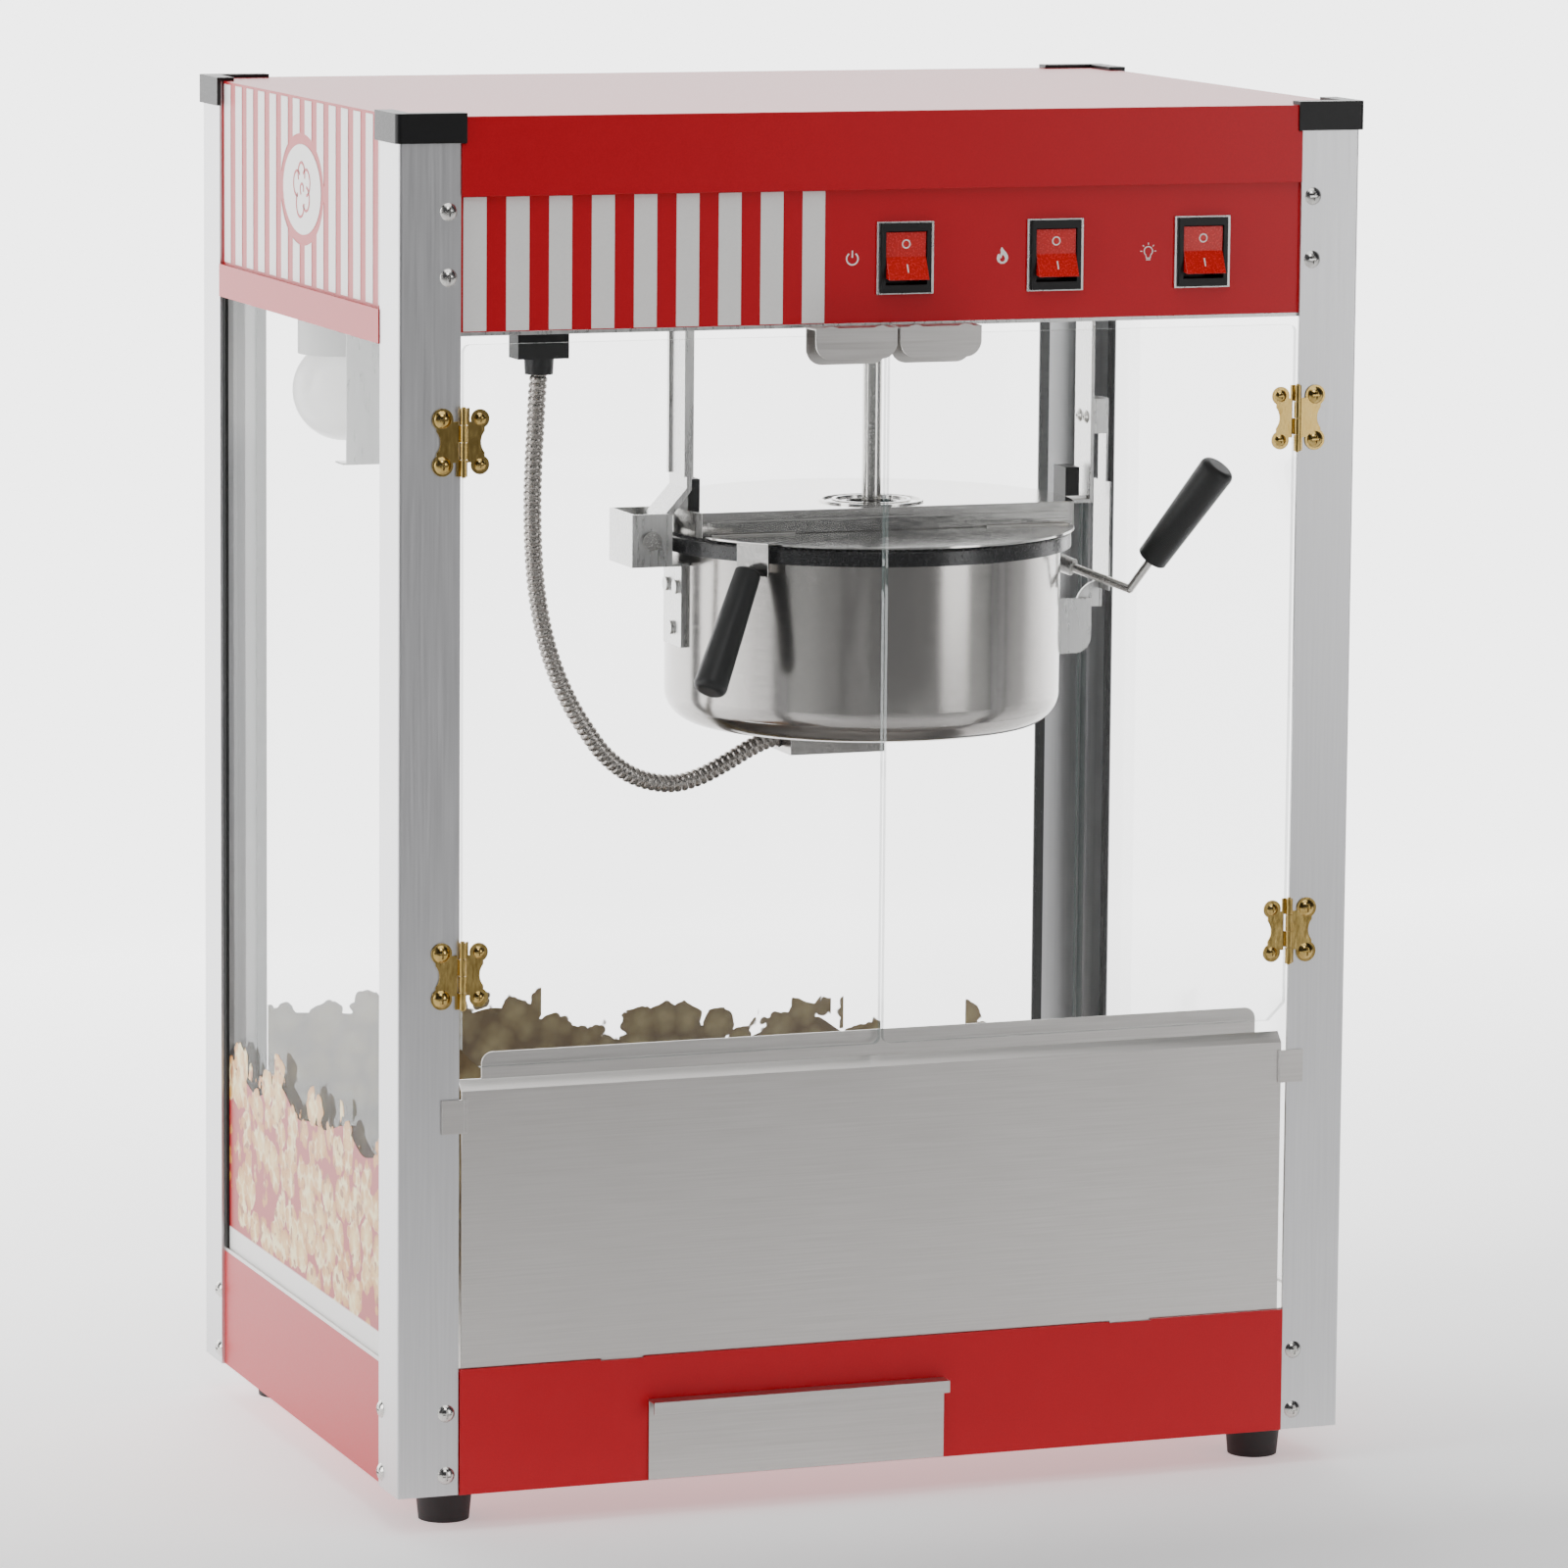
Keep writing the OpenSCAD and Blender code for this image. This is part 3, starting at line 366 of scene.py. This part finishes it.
def make_camera():
    cam = bpy.data.cameras.new("camera")
    ob = bpy.data.objects.new("camera", cam)
    bpy.context.scene.collection.objects.link(ob)
    az, el, roll = (math.radians(v) for v in (CAM_AZ, CAM_EL, CAM_ROLL))
    forward = Vector((math.sin(az) * math.cos(el), math.cos(az) * math.cos(el), -math.sin(el)))
    turn = forward.to_track_quat("-Z", "Y").to_matrix().to_4x4()
    ob.matrix_world = Matrix.Translation(CAM_AT) @ turn @ Matrix.Rotation(roll, 4, "Z")
    cam.lens = CAM_LENS
    cam.sensor_width = CAM_SENSOR
    cam.shift_x, cam.shift_y = CAM_SHIFT
    cam.clip_end = 50
    bpy.context.scene.camera = ob


def area_light(name, at, target, size, power):
    lamp = bpy.data.lights.new(name, "AREA")
    lamp.shape = "RECTANGLE"
    lamp.size, lamp.size_y = size
    lamp.energy = power
    ob = bpy.data.objects.new(name, lamp)
    bpy.context.scene.collection.objects.link(ob)
    d = Vector(target) - Vector(at)
    ob.matrix_world = Matrix.Translation(at) @ d.to_track_quat("-Z", "Y").to_matrix().to_4x4()


def make_backdrop():
    """White paper behind the object and a dark room in front, which the metal reflects."""
    world = bpy.data.worlds.new("studio")
    bpy.context.scene.world = world
    world.use_nodes = True
    nt = world.node_tree
    tc = nt.nodes.new("ShaderNodeTexCoord")
    split = nt.nodes.new("ShaderNodeSeparateXYZ")
    nt.links.new(tc.outputs["Generated"], split.inputs[0])
    back = span(nt, split.outputs["Y"], 0.45, 0.8)
    colour = blend_colour(nt, back, (0.04, 0.04, 0.045), (PAPER, PAPER, PAPER))
    nt.links.new(colour, nt.nodes["Background"].inputs["Color"])


def make_lights():
    area_light("key_left", (-3.2, -0.4, 1.4), (0, 0, 0.45), (1.3, 2.4), 62)
    area_light("fill_front", (-0.3, -2.9, 3.3), (0, 0, 0.45), (1.2, 1.2), 30)
    area_light("side_right", (1.75, -2.5, 0.8), (0, 0, 0.4), (0.9, 1.5), 17)
    area_light("top", (0, -0.7, 2.8), (0, 0, 0.4), (2.2, 1.4), 22)


def floor_paper():
    """Pale paper that turns darker far in front, and glows into the backdrop behind."""
    m = surface("floor_paper", (0.92, 0.92, 0.92), (0.90, 0.90, 0.90), 0.6,
                grain=(40, (1, 1, 1)), bump=0.02, specular=0.0)
    nt = m.node_tree
    bsdf = nt.nodes["Principled BSDF"]
    split = nt.nodes.new("ShaderNodeSeparateXYZ")
    nt.links.new(place(nt), split.inputs[0])
    bsdf.inputs["Emission Color"].default_value = (1, 1, 1, 1)
    glow = span(nt, split.outputs["Y"], GLOW_FRONT, 1.6, 0.16, PAPER)
    nt.links.new(glow, bsdf.inputs["Emission Strength"])
    pale = bsdf.inputs["Base Color"].links[0].from_socket
    far = span(nt, split.outputs["Y"], 0.5, 1.8)
    near = span(nt, split.outputs["Y"], -0.7, -1.6)
    tint = blend_colour(nt, near, pale, (0.16, 0.16, 0.16))
    nt.links.new(blend_colour(nt, far, tint, (0.0, 0.0, 0.0)), bsdf.inputs["Base Color"])
    return m


def make_floor():
    bm = bmesh.new()
    bmesh.ops.create_grid(bm, x_segments=24, y_segments=24, size=9.0)
    me = bpy.data.meshes.new("floor")
    bm.to_mesh(me)
    bm.free()
    floor = bpy.data.objects.new("floor", me)
    bpy.context.scene.collection.objects.link(floor)
    me.materials.append(floor_paper())


# ---------------------------------------------------------------- conduit

def conduit_line():
    """Points along the route, close enough together for the ribs."""
    ctrl = [Vector(p) for p in ROUTE]
    out = []
    for i in range(len(ctrl) - 1):
        p0, p1 = ctrl[max(i - 1, 0)], ctrl[i]
        p2, p3 = ctrl[i + 1], ctrl[min(i + 2, len(ctrl) - 1)]
        steps = max(2, round((p2 - p1).length / (RIB_PITCH / 8)))
        for s in range(steps):
            t = s / steps
            out.append(0.5 * ((2 * p1) + (p2 - p0) * t + (2 * p0 - 5 * p1 + 4 * p2 - p3) * t * t
                              + (3 * p1 - p0 - 3 * p2 + p3) * t ** 3))
    out.append(ctrl[-1])
    return out


def make_conduit(mat):
    line = conduit_line()
    bm = bmesh.new()
    run, rings = 0.0, []
    turns = [2 * math.pi * k / CONDUIT_SIDES for k in range(CONDUIT_SIDES)]
    for i, p in enumerate(line):
        if i:
            run += (p - line[i - 1]).length
        d = (line[min(i + 1, len(line) - 1)] - line[max(i - 1, 0)]).normalized()
        across = Vector((0, 1, 0))
        up = across.cross(d).normalized()
        phase = (run / RIB_PITCH) % 1.0
        r = CONDUIT_D / 2 - RIB_DEPTH * (0.5 - 0.5 * math.cos(2 * math.pi * phase)) ** 3
        rings.append([bm.verts.new((p + r * (math.cos(a) * up + math.sin(a) * across)) * MM)
                      for a in turns])
    for a, b in zip(rings, rings[1:]):
        for k in range(CONDUIT_SIDES):
            j = (k + 1) % CONDUIT_SIDES
            bm.faces.new((a[k], a[j], b[j], b[k]))
    bm.faces.new(rings[0])
    bm.faces.new(rings[-1])
    tube = piece("conduit_tube", bm, mat, None, smooth=True)
    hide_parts("conduit")
    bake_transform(tube)


# ---------------------------------------------------------------- marks

def power_icon(bm):
    at = on_front(ICON_X["power"], SWITCH_Z)
    prism(bm, stroke(arc(3.3, 125, 415, 28), 0.8), at, ICON_INK)
    prism(bm, stroke([(0, 0.6), (0, 4.4)], 0.8), at, ICON_INK)


def flame_icon(bm):
    at = on_front(ICON_X["heat"], SWITCH_Z)
    outer = [(-0.4, 4.8), (0.9, 3.2), (2.2, 1.8), (3.2, 0.2), (3.5, -1.4), (2.8, -3.2), (1.2, -4.3),
             (-0.8, -4.4), (-2.6, -3.3), (-3.3, -1.6), (-2.9, 0.2), (-2.1, 1.2), (-1.4, 0.2),
             (-0.9, 1.6), (-1.1, 3.2)]
    inner = [(0.2, 0.6), (0.8, 0.0), (1.3, -0.6), (1.6, -1.4), (1.6, -2.2), (1.1, -2.9), (0.4, -3.3),
             (-0.5, -3.3), (-1.2, -2.8), (-1.5, -2.0), (-1.3, -1.4), (-0.9, -1.2), (-0.6, -1.4),
             (-0.3, -0.8), (-0.1, 0.0)]
    prism(bm, outer, at, ICON_INK, hole=inner)


def bulb_icon(bm):
    at = on_front(ICON_X["light"], SWITCH_Z)
    prism(bm, stroke(arc(2.5, -55, 235, 24, 0, 0.8), 0.55), at, ICON_INK)
    prism(bm, stroke([(-1.4, -1.4), (-1.2, -2.9)], 0.5), at, ICON_INK)
    prism(bm, stroke([(1.4, -1.4), (1.2, -2.9)], 0.5), at, ICON_INK)
    for z in (-3.0, -3.9):
        prism(bm, stroke([(-1.3, z), (1.3, z)], 0.5), at, ICON_INK)
    for a in (0, 45, 135, 180, 90):
        c, s = math.cos(math.radians(a)), math.sin(math.radians(a))
        prism(bm, stroke([(3.6 * c, 0.8 + 3.6 * s), (4.7 * c, 0.8 + 4.7 * s)], 0.45), at, ICON_INK)


def make_icons(mat):
    for name, draw in (("power", power_icon), ("heat", flame_icon), ("light", bulb_icon)):
        bm = bmesh.new()
        draw(bm)
        piece(f"icon_{name}", bm, mat, "cabinet")


def on_rocker(x, centre):
    """Puts a flat shape on a rocker's sloping half, centred that far above its middle."""
    tip = math.radians(ROCKER_LEAN)
    slope = math.atan2(ROCKER_RISE, ROCKER_HALF)

    def at(u, v, t):
        z = centre + v * math.cos(slope)
        y = -3.0 - abs(z) * ROCKER_RISE / ROCKER_HALF - 0.03 - t
        back = y * math.cos(tip) - z * math.sin(tip)
        up = y * math.sin(tip) + z * math.cos(tip)
        return Vector(((x + u) * MM, (ROCKER_Y + back) * MM, (SWITCH_Z + up) * MM))
    return at


def rocker_marks(mat):
    """A ring on each rocker's upper face and a bar on its lower one."""
    for name, x in SWITCH_X.items():
        bm = bmesh.new()
        prism(bm, arc(2.5, 0, 345, 23), on_rocker(x, 6.8), MARK_INK, hole=arc(1.85, 0, 345, 23))
        prism(bm, [(-0.35, -2.4), (0.35, -2.4), (0.35, 2.4), (-0.35, 2.4)],
              on_rocker(x, -6.6), MARK_INK)
        piece(f"marks_{name}", bm, mat, f"{name}_rocker")


def oval_emblems(mat):
    """A plain kernel drawn on each side's oval: a ring of lobes around a small heart."""
    for sx, side in ((-1, "left"), (1, "right")):
        bm = bmesh.new()
        at = on_side(sx)
        lobes = [(9.5 * math.cos(math.radians(a)), 8.5 * math.sin(math.radians(a)), r)
                 for a, r in ((20, 7.0), (85, 6.4), (150, 7.2), (215, 6.6), (290, 7.4))]
        for cx, cy, r in lobes:
            toward = math.degrees(math.atan2(cy, cx))
            line = arc(r, toward - 115, toward + 115, 22, cx, cy)
            prism(bm, stroke(line, 1.5), at, EMBLEM_INK)
        prism(bm, stroke(arc(3.2, -60, 200, 14), 1.4), at, EMBLEM_INK)
        piece(f"emblem_{side}", bm, mat, "cabinet")


# ---------------------------------------------------------------- finishes

def make_materials():
    bright = (0.92, 0.92, 0.92)
    return {
        "alu": surface("alu", (0.70, 0.70, 0.71), (0.63, 0.63, 0.64), 0.36, 0.95,
                       grain=(700, (1, 1, 0.02)), bump=0.08, edge=bright, edge_amount=0.5,
                       rough_var=0.05),
        "red": surface("red", (0.54, 0.0, 0.010), (0.47, 0.0, 0.008), 0.34, 0.0,
                       grain=(1400, (1, 1, 1)), bump=0.10, edge=(0.85, 0.10, 0.09),
                       edge_amount=0.5, rough_var=0.05, specular=0.3),
        "steel_x": surface("steel_x", (0.64, 0.62, 0.60), (0.56, 0.54, 0.52), 0.33, 1.0,
                           grain=(900, (0.02, 1, 1)), bump=0.06, edge=bright, rough_var=0.05),
        "steel_pot": surface("steel_pot", (0.42, 0.405, 0.39), (0.38, 0.365, 0.35), 0.16, 1.0,
                             grain=(1500, (0.04, 0.04, 1)), bump=0.015, edge=bright,
                             rough_var=0.03),
        "steel_plain": surface("steel_plain", (0.68, 0.68, 0.67), (0.56, 0.56, 0.55), 0.3, 1.0,
                               grain=(500, (1, 1, 0.1)), bump=0.08, edge=bright),
        "polished": surface("polished", (0.72, 0.71, 0.69), (0.64, 0.63, 0.61), 0.12, 1.0,
                            grain=(500, (0.2, 1, 1)), bump=0.04, edge=bright, rough_var=0.03),
        "bolt": surface("bolt", (0.74, 0.73, 0.70), (0.50, 0.49, 0.47), 0.22, 1.0,
                        grain=(1200, (1, 1, 1)), bump=0.08, edge=bright, radius=0.0002),
        "brass": surface("brass", (0.58, 0.42, 0.15), (0.42, 0.28, 0.08), 0.20, 1.0,
                         grain=(700, (1, 1, 0.3)), bump=0.08, edge=(0.95, 0.80, 0.45),
                         radius=0.0002),
        "black": surface("black", (0.006, 0.006, 0.007), (0.003, 0.003, 0.003), 0.42, 0.0,
                         grain=(1300, (1, 1, 1)), bump=0.22, edge=(0.06, 0.06, 0.06),
                         specular=0.35),
        "rubber": surface("rubber", (0.015, 0.015, 0.015), (0.008, 0.008, 0.008), 0.62, 0.0,
                          grain=(900, (1, 1, 1)), bump=0.25, edge=(0.06, 0.06, 0.06)),
        "enamel": surface("enamel", (0.006, 0.006, 0.007), (0.003, 0.003, 0.004), 0.24, 0.0,
                          grain=(500, (1, 1, 1)), bump=0.10, edge=(0.08, 0.08, 0.08)),
        "white": surface("white", (0.90, 0.885, 0.86), (0.86, 0.845, 0.82), 0.38, 0.0,
                         grain=(900, (1, 1, 1)), bump=0.06),
        "icon": surface("icon", (0.95, 0.94, 0.92), (0.90, 0.89, 0.87), 0.4, 0.0,
                        grain=(900, (1, 1, 1)), bump=0.05, radius=0.00005),
        "grey": surface("grey", (0.42, 0.42, 0.41), (0.33, 0.33, 0.32), 0.5, 0.0,
                        grain=(900, (1, 1, 1)), bump=0.15, edge=(0.55, 0.55, 0.54)),
        "conduit": surface("conduit", (0.46, 0.43, 0.40), (0.30, 0.28, 0.26), 0.28, 1.0,
                           grain=(800, (1, 1, 1)), bump=0.10, edge=bright, radius=0.0002),
        "rocker": see_through("rocker", (0.80, 0.012, 0.010), 0.97, 0.25, 0.15),
        "bulb": see_through("bulb", (0.90, 0.89, 0.86), 0.72, 0.18, 0.2),
        "door": clear_pane("door", 1, 0.08),
        "side_pane": clear_pane("side_pane", 0, 0.14),
        "rear_pane": clear_pane("rear_pane", 1, 0.10),
        "corn": popcorn_print("corn"),
    }


FINISH = {
    "alu": ["post_front_left", "post_front_right", "post_rear_left", "post_rear_right"],
    "red": ["top_cover", "control_panel", "side_headers", "rear_header", "base_shell"],
    "steel_x": ["front_panel", "panel_lip", "drawer", "handle_left", "handle_right", "chamber_deck"],
    "steel_pot": ["pot", "heater_cover"],
    "steel_plain": ["ceiling_plate", "lamp_guard", "hanger_left", "hanger_right",
                    "bracket_left", "bracket_right", "latch_fin", "latch_spring",
                    "switch_frames", "gear_motor", "heating_element"],
    "polished": ["lid_plate", "lid_flap"],
    "bolt": ["frame_screws", "swing_pin", "crank_rod", "stirrer"],
    "brass": ["hinge_frame_leaves", "hinge_leaves_left", "hinge_leaves_right"],
    "black": ["corner_caps", "kettle_socket", "kettle_plug", "switch_bodies", "cable_gland",
              "lid_blocks", "crank_grip", "lid_grip"],
    "rubber": ["feet", "glass_gaskets"],
    "enamel": ["pot_rim"],
    "white": ["header_stripes"],
    "grey": ["lamp_socket"],
    "conduit": ["conduit"],
    "rocker": ["rocker_power", "rocker_heat", "rocker_light"],
    "bulb": ["lamp_bulb"],
    "door": ["door_left", "door_right"],
    "side_pane": ["glass_sides"],
    "rear_pane": ["glass_rear"],
    "corn": ["popcorn_decals"],
}


def dress(mats):
    for key, names in FINISH.items():
        for n in names:
            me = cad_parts[n].data
            me.materials.clear()
            me.materials.append(mats[key])


make_camera()
make_backdrop()
make_lights()
make_floor()
MATS = make_materials()
make_conduit(MATS["conduit"])
dress(MATS)
make_icons(MATS["icon"])
rocker_marks(MATS["icon"])
oval_emblems(MATS["red"])
